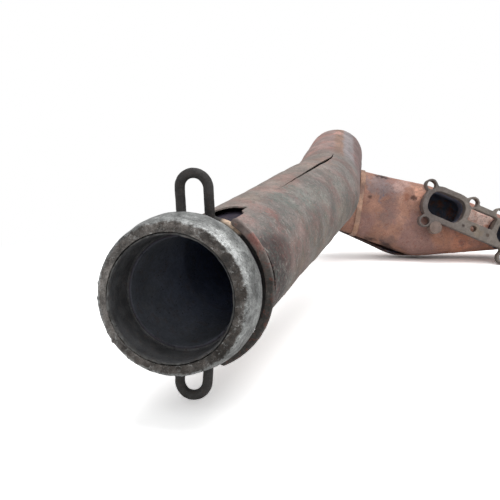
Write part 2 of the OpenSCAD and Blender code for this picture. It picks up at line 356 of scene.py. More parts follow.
@dataclass
class Route:
    """A centreline of straight runs with rounded corners, in millimetres.

    Attributes:
        corners: its corner points.
        radii: the bend radius at each corner between the ends.
        step: the distance between its stations.
    """

    corners: Sequence[tuple[float, float, float]]
    radii: Sequence[float]
    step: float
    points: list[Vector] = field(default_factory=list)
    ups: list[Vector] = field(default_factory=list)
    runs: list[Vector] = field(default_factory=list)

    def __post_init__(self) -> None:
        """Lays the stations along the runs and round the bends."""
        spots = [Vector(c) for c in self.corners]
        rough = [spots[0]]
        for index, radius in enumerate(self.radii, start=1):
            rough += self.bend(spots[index - 1], spots[index], spots[index + 1], radius)
        rough.append(spots[-1])
        self.points = self.even(rough)
        self.lay_frames()

    @staticmethod
    def bend(before: Vector, corner: Vector, after: Vector, radius: float) -> list[Vector]:
        """Rounds one corner.

        Args:
            before: the point before the corner.
            corner: the corner.
            after: the point after it.
            radius: the bend radius.

        Returns:
            The points of the arc.
        """
        first, second = (corner - before).normalized(), (after - corner).normalized()
        angle = first.angle(second)
        side = (second - first * first.dot(second)).normalized()
        centre = corner - first * radius * math.tan(angle / 2) + side * radius
        count = max(3, int(angle * radius / ARC_STEP))
        return [centre - side * radius * math.cos(angle * i / count)
                + first * radius * math.sin(angle * i / count) for i in range(count + 1)]

    def even(self, rough: Sequence[Vector]) -> list[Vector]:
        """Spaces stations evenly along a line of points.

        Args:
            rough: the line's points.

        Returns:
            The stations.
        """
        lengths = [0.0]
        for a, b in zip(rough, rough[1:]):
            lengths.append(lengths[-1] + (b - a).length)
        count = max(2, round(lengths[-1] / self.step))
        stations, part = [], 0
        for index in range(count + 1):
            goal = lengths[-1] * index / count
            while part < len(rough) - 2 and lengths[part + 1] < goal:
                part += 1
            run = lengths[part + 1] - lengths[part]
            share = (goal - lengths[part]) / run if run else 0
            stations.append(rough[part].lerp(rough[part + 1], share))
        return stations

    def lay_frames(self) -> None:
        """Carries the upward direction along the stations without a twist."""
        up = Vector((0, 0, 1))
        last = len(self.points) - 1
        for index in range(last + 1):
            ahead = self.points[min(last, index + 1)]
            run = (ahead - self.points[max(0, index - 1)]).normalized()
            up = (up - run * up.dot(run)).normalized()
            self.runs.append(run)
            self.ups.append(up)

    def ring(self, index: int, degrees: Sequence[float], radius: float) -> list[Vector]:
        """Gives points round a station.

        Args:
            index: the station.
            degrees: the clock angles of the points.
            radius: their distance from the centreline, in millimetres.

        Returns:
            The points, in metres.
        """
        across = self.runs[index].cross(self.ups[index])
        return [(self.points[index] + radius * (math.cos(math.radians(a)) * self.ups[index]
                 + math.sin(math.radians(a)) * across)) * MM for a in degrees]


OUTLET_DIR = (0.0, math.cos(math.radians(MOUTH_LEAN)), -math.sin(math.radians(MOUTH_LEAN)))
PIPE_CORNERS = ((0.0, OUTLET_DIR[1] * 20, OUTLET_DIR[2] * 20),
                (0.0, OUTLET_DIR[1] * 29, OUTLET_DIR[2] * 29),
                (11.5, 54.0, 3.5), (43.5, 252.0, 30.7), (44.2, 434.0, 66.2), (39.5, 478.0, 6.0))
PIPE_BENDS = (28.0, 28.0, 120.0, 60.0)


# ---------------------------------------------------------------- colours and finishes


def shade(red: float, green: float, blue: float) -> Color:
    """Gives the linear colour of a display colour in steps of 255."""
    def line(value: float) -> float:
        """Gives the linear light of one channel."""
        value /= 255
        return value / 12.92 if value <= 0.04045 else ((value + 0.055) / 1.055) ** 2.4
    return (line(red), line(green), line(blue))


@dataclass(frozen=True)
class Patch:
    """A soft-edged patch of colour on a surface.

    Attributes:
        place: its middle, in millimetres.
        reach: its radius, in millimetres.
        color: its display colour in steps of 255.
        share: how much it covers at its middle.
        inner: whether it lies only on surfaces that look at its middle.
    """

    place: tuple[float, float, float]
    reach: float
    color: tuple[float, float, float]
    share: float
    inner: bool = False


@dataclass
class Coat:
    """The broad colouring of a piece, painted on its points.

    Attributes:
        ground: gives the display colour and the shine at a place in millimetres.
        patches: what lies over the ground.
        ragged: how ragged the patches' edges are.
    """

    ground: Callable[[Vector], tuple[float, float, float, float]]
    patches: Sequence[Patch] = ()
    ragged: float = 0.5

    def lay(self, piece: bpy.types.Object) -> None:
        """Paints the points of piece."""
        spots = [(Vector(p.place), p) for p in self.patches]
        values: list[float] = []
        for vertex in piece.data.vertices:
            place = vertex.co * 1000
            red, green, blue, shine = self.ground(place)
            rag = self.ragged * (noise.noise(place * 0.11) + 0.6 * noise.noise(place * 0.37))
            for middle, patch in spots:
                near = 1 - (place - middle).length / patch.reach
                if near < -0.6 or (patch.inner and vertex.normal.dot(middle - place) < 0):
                    continue
                cover = patch.share * ramp(near + rag, 0.0, 0.55)
                red += (patch.color[0] - red) * cover
                green += (patch.color[1] - green) * cover
                blue += (patch.color[2] - blue) * cover
                shine -= shine * cover
            values += [*shade(red, green, blue), max(0.0, min(1.0, shine))]
        layer = piece.data.color_attributes.new("coat", "FLOAT_COLOR", "POINT")
        layer.data.foreach_set("color", values)


@dataclass(frozen=True)
class Finish:
    """A weathered metal skin over a painted coat.

    Attributes:
        name: the material's name.
        stain: display colour of the rust that breaks through.
        bloom: display colour of the pale dusty scale.
        pit: display colour inside the pits.
        cool: display colour of the greyer flecks.
        stain_share: how much rust shows.
        bloom_share: how much scale shows.
        pit_share: how much the pits show.
        cool_share: how much the greyer flecks show.
        cloud: size of the broad tones, in metres.
        fleck: size of the flecks, in metres.
        pore: size of the pits, in metres.
        rough: roughness of the dull skin.
        sheen_rough: roughness where bare metal shows.
        metal: how metallic the bare places are.
        relief: depth of the fine relief, in metres.
        contrast: how much the tones vary.
    """

    name: str
    stain: tuple[float, float, float] = (120, 72, 50)
    bloom: tuple[float, float, float] = (176, 166, 158)
    pit: tuple[float, float, float] = (38, 33, 31)
    cool: tuple[float, float, float] = (96, 94, 92)
    stain_share: float = 0.35
    bloom_share: float = 0.25
    pit_share: float = 0.6
    cool_share: float = 0.2
    cloud: float = 0.022
    fleck: float = 0.004
    pore: float = 0.0016
    rough: float = 0.72
    sheen_rough: float = 0.38
    metal: float = 0.8
    relief: float = 0.00035
    contrast: float = 0.2

    def make(self) -> bpy.types.Material:
        """Builds the material's nodes.

        Returns:
            The material.
        """
        material = bpy.data.materials.new(self.name)
        material.use_nodes = True
        bench = Bench(material)
        skin = material.node_tree.nodes["Principled BSDF"]
        place = bench.add("ShaderNodeTexCoord").outputs["Object"]
        coat = bench.add("ShaderNodeVertexColor")
        coat.layer_name = "coat"
        broad = bench.noise(place, 1 / self.cloud, 5, 0.62)
        mid = bench.noise(place, 1 / self.fleck, 7, 0.68, 0.6)
        fine = bench.noise(place, 3.3 / self.fleck, 5, 0.6)
        dust = bench.noise(place, 0.45 / self.fleck, 6, 0.7, 1.2)
        color = bench.tone(coat.outputs["Color"], broad, 0.3, 0.7,
                           1 - self.contrast, 1 + self.contrast)
        color = bench.blend(color, shade(*self.bloom),
                            bench.span(dust, 0.52, 0.7, 0, self.bloom_share))
        grey = bench.noise(place, 0.7 / self.fleck, 6, 0.72, 0.4)
        color = bench.blend(color, shade(*self.cool),
                            bench.span(grey, 0.5, 0.62, 0, self.cool_share))
        color = bench.blend(color, shade(*self.stain),
                            bench.span(mid, 0.52, 0.66, 0, self.stain_share))
        color = bench.tone(color, fine, 0.25, 0.75, 1 - 0.9 * self.contrast,
                           1 + 0.9 * self.contrast)
        holes = bench.holes(place, 1 / self.pore, dust)
        color = bench.blend(color, shade(*self.pit), bench.span(holes, 0, 1, 0, self.pit_share))
        bench.join(color, skin.inputs["Base Color"])
        dull = bench.span(mid, 0.3, 0.7, self.rough + 0.12, self.rough - 0.1)
        bare = bench.span(fine, 0.3, 0.7, self.sheen_rough - 0.08, self.sheen_rough + 0.14)
        bench.join(bench.between(dull, bare, coat.outputs["Alpha"]), skin.inputs["Roughness"])
        bench.join(bench.span(coat.outputs["Alpha"], 0, 1, 0, self.metal),
                   skin.inputs["Metallic"])
        skin.inputs["Specular IOR Level"].default_value = 0.35
        first = bench.bump(mid, self.relief, 0.55, None)
        second = bench.bump(fine, self.relief * 0.45, 0.5, first)
        third = bench.bump(bench.span(holes, 0, 1, 1, 0), self.relief, 0.6, second)
        bench.join(third, skin.inputs["Normal"])
        return material


@dataclass
class Bench:
    """Lays out a material's nodes.

    Attributes:
        material: the material whose nodes are laid out.
    """

    material: bpy.types.Material

    def add(self, kind: str) -> bpy.types.Node:
        """Adds a node of the given kind."""
        return self.material.node_tree.nodes.new(kind)

    def join(self, out: bpy.types.NodeSocket, into: bpy.types.NodeSocket) -> None:
        """Links one socket to another."""
        self.material.node_tree.links.new(out, into)

    def noise(self, place: bpy.types.NodeSocket, scale: float, detail: float,
              roughness: float, warp: float = 0.0) -> bpy.types.NodeSocket:
        """Adds a noise texture.

        Args:
            place: the coordinates.
            scale: features in a metre.
            detail: the number of finer layers.
            roughness: how strong the finer layers are.
            warp: how much the noise is bent.

        Returns:
            The noise value.
        """
        node = self.add("ShaderNodeTexNoise")
        self.join(place, node.inputs["Vector"])
        node.inputs["Scale"].default_value = scale
        node.inputs["Detail"].default_value = detail
        node.inputs["Roughness"].default_value = roughness
        node.inputs["Distortion"].default_value = warp
        return node.outputs["Fac"]

    def span(self, value: bpy.types.NodeSocket, low: float, high: float, out_low: float,
             out_high: float) -> bpy.types.NodeSocket:
        """Maps a value's range smoothly to another.

        Args:
            value: the value.
            low: the start of its range.
            high: the end of its range.
            out_low: what low becomes.
            out_high: what high becomes.

        Returns:
            The mapped value.
        """
        node = self.add("ShaderNodeMapRange")
        node.interpolation_type = "SMOOTHSTEP"
        self.join(value, node.inputs["Value"])
        for label, amount in (("From Min", low), ("From Max", high), ("To Min", out_low),
                              ("To Max", out_high)):
            node.inputs[label].default_value = amount
        return node.outputs["Result"]

    def blend(self, under: bpy.types.NodeSocket, color: Color,
              share: bpy.types.NodeSocket) -> bpy.types.NodeSocket:
        """Lays a colour over another by share."""
        node = self.add("ShaderNodeMix")
        node.data_type = "RGBA"
        self.join(share, node.inputs["Factor"])
        self.join(under, node.inputs[6])
        node.inputs[7].default_value = (*color, 1)
        return node.outputs[2]

    def tone(self, under: bpy.types.NodeSocket, value: bpy.types.NodeSocket, low: float,
             high: float, dark: float, light: float) -> bpy.types.NodeSocket:
        """Darkens and lightens a colour by a value.

        Args:
            under: the colour.
            value: the value that drives it.
            low: the value that gives the darkest tone.
            high: the value that gives the lightest tone.
            dark: the darkest factor.
            light: the lightest factor.

        Returns:
            The toned colour.
        """
        node = self.add("ShaderNodeVectorMath")
        node.operation = "SCALE"
        self.join(under, node.inputs[0])
        self.join(self.span(value, low, high, dark, light), node.inputs["Scale"])
        return node.outputs["Vector"]

    def between(self, one: bpy.types.NodeSocket, other: bpy.types.NodeSocket,
                share: bpy.types.NodeSocket) -> bpy.types.NodeSocket:
        """Goes from one value to another by share."""
        node = self.add("ShaderNodeMix")
        self.join(share, node.inputs["Factor"])
        self.join(one, node.inputs[2])
        self.join(other, node.inputs[3])
        return node.outputs[0]

    def holes(self, place: bpy.types.NodeSocket, scale: float,
              where: bpy.types.NodeSocket) -> bpy.types.NodeSocket:
        """Scatters small round pits.

        Args:
            place: the coordinates.
            scale: cells in a metre.
            where: a value that gathers the pits where it is high.

        Returns:
            A value that is 1 inside a pit.
        """
        cells = self.add("ShaderNodeTexVoronoi")
        self.join(place, cells.inputs["Vector"])
        cells.inputs["Scale"].default_value = scale
        near = self.span(cells.outputs["Distance"], 0.12, 0.34, 1, 0)
        node = self.add("ShaderNodeMath")
        node.operation = "MULTIPLY"
        self.join(near, node.inputs[0])
        self.join(self.span(where, 0.46, 0.62, 0, 1), node.inputs[1])
        return node.outputs[0]

    def bump(self, height: bpy.types.NodeSocket, depth: float, strength: float,
             under: bpy.types.NodeSocket | None) -> bpy.types.NodeSocket:
        """Adds a bump over another.

        Args:
            height: the height value.
            depth: the relief's depth, in metres.
            strength: how strongly it shows.
            under: the normal it adds to, or nothing.

        Returns:
            The bent normal.
        """
        node = self.add("ShaderNodeBump")
        node.inputs["Distance"].default_value = depth
        node.inputs["Strength"].default_value = strength
        self.join(height, node.inputs["Height"])
        if under is not None:
            self.join(under, node.inputs["Normal"])
        return node.outputs["Normal"]


class Metal(Enum):
    """The finishes of the assembly, each with its material slot."""

    # The seat's pale flecks (bloom) are partly pale scale and partly painted highlights: white
    # flecks that stand in for the sparkle of the ground band.
    SEAT = ("ground_seat_steel", Finish(
        "ground seat steel", stain=(62, 46, 38), bloom=(214, 216, 214), pit=(14, 13, 13),
        cool=(70, 72, 72), stain_share=0.5, bloom_share=0.42, pit_share=0.9, cool_share=0.4,
        cloud=0.009, fleck=0.0013, pore=0.0013, rough=0.7, sheen_rough=0.34, metal=0.75,
        relief=0.0005, contrast=0.44))
    SLEEVE = ("sooty_sleeve_steel", Finish(
        "sooty sleeve steel", stain=(84, 62, 50), bloom=(120, 118, 116), pit=(16, 15, 16),
        stain_share=0.3, bloom_share=0.2, cloud=0.012, fleck=0.003, rough=0.78, metal=0.5))
    WIRE = ("sooty_wire", Finish(
        "sooty wire", stain=(78, 58, 48), bloom=(104, 104, 106), pit=(18, 17, 18),
        stain_share=0.35, bloom_share=0.25, cloud=0.011, fleck=0.0018, pore=0.001, rough=0.62,
        relief=0.0002))
    COLLAR = ("brown_scaled_steel", Finish(
        "brown scaled steel", stain=(136, 76, 60), bloom=(150, 138, 128), pit=(34, 28, 26),
        stain_share=0.45, cloud=0.01, fleck=0.0025, pore=0.0012))
    PIPE = ("pipe_steel", Finish(
        "dark pipe steel", stain=(74, 56, 48), bloom=(90, 90, 94), pit=(14, 14, 16),
        stain_share=0.35, bloom_share=0.15, cloud=0.02, fleck=0.005, rough=0.85))
    SHIELD = ("shield_steel", Finish(
        "weathered shield steel", stain=(158, 100, 90), bloom=(196, 192, 184), pit=(58, 50, 48),
        cool=(104, 116, 110), stain_share=0.38, bloom_share=0.5, pit_share=0.7, cool_share=0.5,
        cloud=0.014, fleck=0.0021, pore=0.0015, rough=0.6, sheen_rough=0.42, metal=0.5,
        relief=0.0003, contrast=0.25))
    MANIFOLD = ("manifold_steel", Finish(
        "rusted manifold steel", stain=(138, 82, 62), bloom=(196, 158, 140), pit=(70, 48, 42),
        cool=(124, 104, 104), stain_share=0.45, bloom_share=0.4, pit_share=0.5, cool_share=0.35,
        cloud=0.018, fleck=0.004, pore=0.0018, rough=0.78, relief=0.0004, contrast=0.14))
    BAND = ("band_steel", Finish(
        "orange rusted band steel", stain=(150, 98, 72), bloom=(206, 170, 148), pit=(84, 58, 48),
        stain_share=0.4, bloom_share=0.35, pit_share=0.4, cloud=0.012, fleck=0.003))
    PLATE = ("flange_plate_steel", Finish(
        "pitted flange steel", stain=(104, 84, 70), bloom=(150, 146, 140), pit=(44, 40, 38),
        stain_share=0.32, bloom_share=0.3, pit_share=0.65, cloud=0.014, fleck=0.0032,
        pore=0.0018, rough=0.62, relief=0.0004, contrast=0.15))


class Dresser:
    """Gives finished pieces their materials and their places in the model."""

    made: dict[str, bpy.types.Material] = {}

    @classmethod
    def dress(cls, piece: bpy.types.Object, metal: Metal, coat: Coat,
              nodes: Sequence[str]) -> None:
        """Paints a piece, gives it its material and fixes it to the model.

        Args:
            piece: the finished piece.
            metal: its finish.
            coat: its colouring.
            nodes: the CAD nodes that it stands for.
        """
        slot, finish = metal.value
        if slot not in cls.made:
            cls.made[slot] = finish.make()
        coat.lay(piece)
        piece.data.materials.clear()
        piece.data.materials.append(cls.made[slot])
        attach(piece, "root")
        for node in nodes:
            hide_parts(node)
        LOG.info("%s: %d faces", piece.name, len(piece.data.polygons))


# ---------------------------------------------------------------- the pieces


@dataclass
class Outlet:
    """The seat ring, its sleeve, the wire flange and the stop collar.

    Attributes:
        bore: radius of the sleeve's bore, in millimetres.
        sleeve: outside radius of the sleeve.
        pocket: radius of the pocket that holds the pipe.
        steps: segments round the ring.
        wire: radius of the wire.
        reach: outer reach of the lower and the upper eye.
        face: radius and depth of the ring's crusted face.
        setback: depth of the wire's ring behind the mouth.
        lean: forward lean of the eyes, in degrees.
    """

    bore: float = 27.0
    sleeve: float = 28.4
    pocket: float = 26.05
    steps: int = 400
    wire: float = 2.5
    reach: tuple[float, float] = (54.2, 55.8)
    face: tuple[float, float] = (33.6, 3.2)
    setback: float = 36.5
    lean: float = 11.0

    @staticmethod
    def fill(profile: Sequence[tuple[float, float]], step: float) -> list[tuple[float, float]]:
        """Adds points along the sides of a closed profile, in metres.

        Args:
            profile: its corners in millimetres.
            step: the distance between points.

        Returns:
            The filled profile.
        """
        out = []
        for a, b in zip(profile, [*profile[1:], profile[0]]):
            count = max(1, round(math.dist(a, b) / step))
            out += [((a[0] + (b[0] - a[0]) * i / count) * MM,
                     (a[1] + (b[1] - a[1]) * i / count) * MM) for i in range(count)]
        return out

    def seat_ring(self) -> bpy.types.Object:
        """Turns the seat ring and roughens its crusted face."""
        profile = [(self.sleeve, 0.9), (30.6, 1.25), (31.6, 1.55), (32.9, 2.3), (33.5, 3.0),
                   (34.4, 7.0), (35.3, 11.6), (36.0, 15.4), (36.3, 18.6), (36.2, 20.4),
                   (35.7, 22.1), (34.7, 23.1), (33.4, 23.55), (self.sleeve, 23.6)]
        piece = Shop.turn("seat_ring_worn", self.fill(profile, 0.5), self.steps, OUTLET)

        def on_face(place: Vector) -> float:
            """Gives the radius at which a place lies on the crusted face, or 0 off it."""
            spot = OUTLET_BACK @ place * 1000
            radius = math.hypot(spot.x, spot.y)
            return radius if spot.z < self.face[1] and radius < self.face[0] else 0.0

        Shop.weigh(piece, "crust", lambda place: ramp(on_face(place), self.sleeve, 29.6))
        Shop.weigh(piece, "band", lambda place: 0.0 if on_face(place) else 1.0)
        Shop.relief(piece, Grain.CLOUDS, 0.0028, 0.0016, 0.72, "crust", 5)
        Shop.relief(piece, Grain.STUCCO, 0.0014, 0.0008, 0.8, "crust")
        Shop.relief(piece, Grain.CLOUDS, 0.005, 0.0005, 0.9, "band", 3)
        Shop.apply(piece)
        Shop.smooth(piece, 60)
        return piece

    @staticmethod
    def ring_tone(place: Vector) -> tuple[float, float, float, float]:
        """Colours the seat ring: a bright ground band behind a crusted face, with a painted
        highlight on the band's upper right.
        """
        spot = OUTLET_BACK @ place
        radius = math.hypot(spot.x, spot.y)
        clock = math.degrees(math.atan2(spot.x, -spot.y))
        rough = noise.noise(place * 0.22) + 0.7 * noise.noise(place * 0.6)
        ragged = 0.9 * rough + 0.7 * noise.noise(place * 1.3)
        face = 1 - ramp(spot.z + ragged + (radius - 33.2) * 0.7, 1.7, 2.9)
        tone = 97 + 30 * rough - 26 * ramp(spot.x, 8, 26) - 8 * ramp(spot.y, 5, 25)
        tone += 24 * ramp(-spot.x, 12, 29)
        mottle = noise.noise(place * 0.3 + Vector((7, 0, 0))) + 0.8 * noise.noise(place * 0.75)
        # Painted highlight: a bright streak painted along the ground band's crown at its upper
        # right, where light would catch it.
        painted_glint = math.exp(-((clock - 46) / 24) ** 2) * math.exp(-((spot.z - 5.5) / 4) ** 2)
        bright = 162 + 32 * mottle + 92 * painted_glint - 16 * ramp(spot.x, 24, 33) * (1 - painted_glint)
        bright += 22 * ramp(-spot.x, 26, 34)
        bare = 1 - face
        return ((tone + 1) * face + bright * bare, (tone - 4) * face + (bright + 2) * bare,
                (tone - 8) * face + (bright + 1) * bare, 0.75 * bare)

    def outlet_sleeve(self) -> bpy.types.Object:
        """Turns the sleeve with a rolled front lip and a step for the pipe."""
        profile = [(self.bore, 0.5), (self.bore + 0.25, 0.12), (self.bore + 0.6, 0.0),
                   (self.sleeve - 0.5, 0.05), (self.sleeve - 0.1, 0.4), (self.sleeve, 0.9),
                   (self.sleeve, 29.7), (self.sleeve - 0.3, 30.0), (self.pocket + 0.3, 30.0),
                   (self.pocket, 29.7), (self.pocket, 20.2), (self.pocket + 0.2, 20.0),
                   (self.bore, 20.0)]
        piece = Shop.turn("outlet_sleeve_sooted", self.fill(profile, 0.6), 320, OUTLET)
        Shop.weigh(piece, "lip", lambda place: 1 - ramp((OUTLET_BACK @ place).z, 0.0009, 0.002))
        Shop.relief(piece, Grain.CLOUDS, 0.003, 0.00025, 0.5, "", 3)
        Shop.relief(piece, Grain.CLOUDS, 0.0026, 0.0012, 0.8, "lip", 5)
        Shop.apply(piece)
        Shop.press(piece, self.keep_behind_mouth)
        Shop.smooth(piece, 50)
        return piece

    @staticmethod
    def keep_behind_mouth(place: Vector) -> Vector:
        """Sinks the lip into the crust, but for its lower left, and keeps it behind the mouth."""
        spot = OUTLET_BACK @ place * 1000
        corner = ramp(-spot.x, -6, 14) * ramp(spot.y, -14, 6)
        sunk = (1 - corner) * (1 - ramp(spot.z, 0.9, 4))
        return OUTLET.to_3x3() @ Vector((0, 0, (sunk + max(0.0, -spot.z)) * MM))

    @staticmethod
    def sleeve_tone(place: Vector) -> tuple[float, float, float, float]:
        """Colours the sleeve: soot within, painted lighter as painted light against the bore's
        shade, and a worn pale lip.
        """
        spot = OUTLET_BACK @ place
        radius = math.hypot(spot.x, spot.y)
        lip = 1 - ramp(spot.z, 1.2, 2.1)
        left = ramp(-spot.x, 5, 26)
        low = ramp(spot.y, 5, 27)
        # Painted light: the soot is painted lighter than soot, and lighter still towards the
        # bottom, the left and the mouth of the bore, in place of the light that shade keeps out.
        soot = 62 + 16 * noise.noise(place * 0.2) + 12 * low + 6 * left
        soot += 6 * (1 - ramp(spot.z, 2, 10))
        worn = 88 + 30 * noise.noise(place * 0.5) - 16 * ramp(spot.x, 5, 25)
        outside = radius > 28.2 and spot.z > 1
        base = 52.0 if outside else soot
        return (base + (worn - base) * lip, base + 1 + (worn - 1 - base) * lip,
                base + 3 + (worn - 4 - base) * lip, 0.2 * lip)

    def wire_path(self) -> list[Vector]:
        """Gives the wire's centreline: an oval with two leaning bolt eyes, in millimetres."""
        middle, oval, leg, shift = (3.2, -1.7), (32.2, 30.0), 6.9, 0.9

        def oval_at(x: float, side: int) -> Vector:
            """Gives the oval's point at x, below where side is 1."""
            rise = math.sqrt(1 - ((x - middle[0]) / oval[0]) ** 2)
            return Vector((x, middle[1] + side * oval[1] * rise, 0))

        def run(turn: int) -> list[Vector]:
            """Gives half of the oval between the eyes."""
            return [Vector((middle[0] + turn * oval[0] * math.cos(math.radians(a)),
                            middle[1] + turn * oval[1] * math.sin(math.radians(a)), 0))
                    for a in range(-69, 70, 3)]

        def eye(reach: float, side: int, turn: int) -> list[Vector]:
            """Gives one bolt eye from foot to foot."""
            feet = [oval_at(shift + k * leg, side) for k in (turn, -turn)]
            base = side * feet[0].y
            lean = math.radians(self.lean)
            bow = (reach - base) / math.cos(lean) - self.wire - leg
            way = Vector((0, side * math.cos(lean), -math.sin(lean)))
            foot = Vector((shift, side * base, 0))
            near = [oval_at(feet[0].x + 4 * turn, side), oval_at(feet[1].x - 4 * turn, side)]
            tops = [foot + way * bow + Vector((k * leg, 0, 0)) for k in (turn, -turn)]
            bow_line = [foot + way * (bow + leg * math.sin(math.radians(a)))
                        + Vector((turn * leg * math.cos(math.radians(a)), 0, 0))
                        for a in range(0, 181, 9)]
            legs = [[a.lerp(b, i / 6) for i in range(1, 6)]
                    for a, b in ((feet[0] + way * 3.2, bow_line[0]),
                                 (bow_line[-1], feet[1] + way * 3.2))]
            return (Route.bend(near[0], feet[0], tops[0], 3.0) + legs[0] + bow_line + legs[1]
                    + Route.bend(tops[1], feet[1], near[1], 3.0))

        return (run(1) + eye(self.reach[0], 1, 1) + run(-1) + eye(self.reach[1], -1, -1))

    def wire_flange(self) -> bpy.types.Object:
        """Bends the wire flange, with the slight unevenness of a forged wire."""
        path = self.wire_path()
        count = len(path)
        rings = []
        for index, spot in enumerate(path):
            ahead = (path[(index + 1) % count] - spot).normalized()
            run = (ahead + (spot - path[index - 1]).normalized()).normalized()
            up = (Vector((0, 0, 1)) - run * run.z).normalized()
            across = run.cross(up)
            radius = self.wire - 0.02 + 0.04 * noise.noise(spot * 0.2)
            rings.append([OUTLET @ ((spot + Vector((0, 0, self.setback)) + radius
                          * (math.cos(a) * up + math.sin(a) * across)) * MM)
                          for a in (math.tau * k / 20 for k in range(20))])
        piece = Shop.loft("wire_flange_sooted", rings, closed=True, looped=True)
        Shop.tidy(piece)
        modifier = piece.modifiers.new("finer", "SUBSURF")
        modifier.levels = modifier.render_levels = 1
        Shop.relief(piece, Grain.CLOUDS, 0.0022, 0.00024, 0.6, "", 3)
        Shop.apply(piece)
        Shop.smooth(piece, 70)
        return piece

    @staticmethod
    def wire_tone(place: Vector) -> tuple[float, float, float, float]:
        """Colours the wire in soot with thin rust."""
        tone = 62 + 16 * noise.noise(place * 0.15)
        return (tone + 1, tone - 1, tone - 2, 0.15)

    def stop_collar(self) -> bpy.types.Object:
        """Rounds and roughens the open collar."""
        piece = Shop.rework("stop_collar", "stop_collar_scaled", 0.00036)
        Shop.ease(piece, 0.6, 4)
        Shop.relief(piece, Grain.CLOUDS, 0.003, 0.00035, 0.75, "", 3)
        Shop.apply(piece)
        Shop.smooth(piece, 70)
        return piece

    @staticmethod
    def collar_tone(place: Vector) -> tuple[float, float, float, float]:
        """Colours the collar: brown above and dark grey-green below, with painted light on its
        upper part, painted shade on its lower part and a painted highlight on its outer edge.
        """
        # Painted light and shade: the upper part painted lighter and browner, the lower part left
        # dark.
        high = ramp(place.z, 2, 24)
        spot = OUTLET_BACK @ place
        # Painted highlight: the outer edge of the collar painted lighter where it catches the
        # light.
        painted_rim_highlight = ramp(math.hypot(spot.x, spot.y), 38.4, 39.4)
        rag = 12 * noise.noise(place * 0.3) + 9 * noise.noise(place * 0.9)
        tone = 70 + rag + 26 * painted_rim_highlight
        return (tone + 58 * high, tone - 3 + 48 * high, tone - 6 + 46 * high, 0.0)

    def build(self) -> None:
        """Builds and dresses the outlet's four pieces."""
        Dresser.dress(self.seat_ring(), Metal.SEAT, Coat(self.ring_tone), ["seat_ring"])
        Dresser.dress(self.outlet_sleeve(), Metal.SLEEVE, Coat(self.sleeve_tone),
                      ["outlet_sleeve"])
        # Painted light: a bright cream pool of light painted on the wire where it shows behind the
        # shield's notch.
        scale = (
            Patch((16, 37, 30), 3.4, (246, 214, 186), 0.9),
            Patch((19, 37, 28.5), 4.2, (255, 226, 198), 0.97),
            Patch((22.5, 36, 26), 3.4, (255, 222, 192), 0.9),
        )
        Dresser.dress(self.wire_flange(), Metal.WIRE, Coat(self.wire_tone, scale, 0.2),
                      ["wire_flange"])
        rust = (
            Patch((31, 32, 23), 4, (166, 98, 90), 0.5),
            Patch((34, 32, 18), 3, (158, 104, 94), 0.4),
        )
        Dresser.dress(self.stop_collar(), Metal.COLLAR, Coat(self.collar_tone, rust, 0.8),
                      ["stop_collar"])


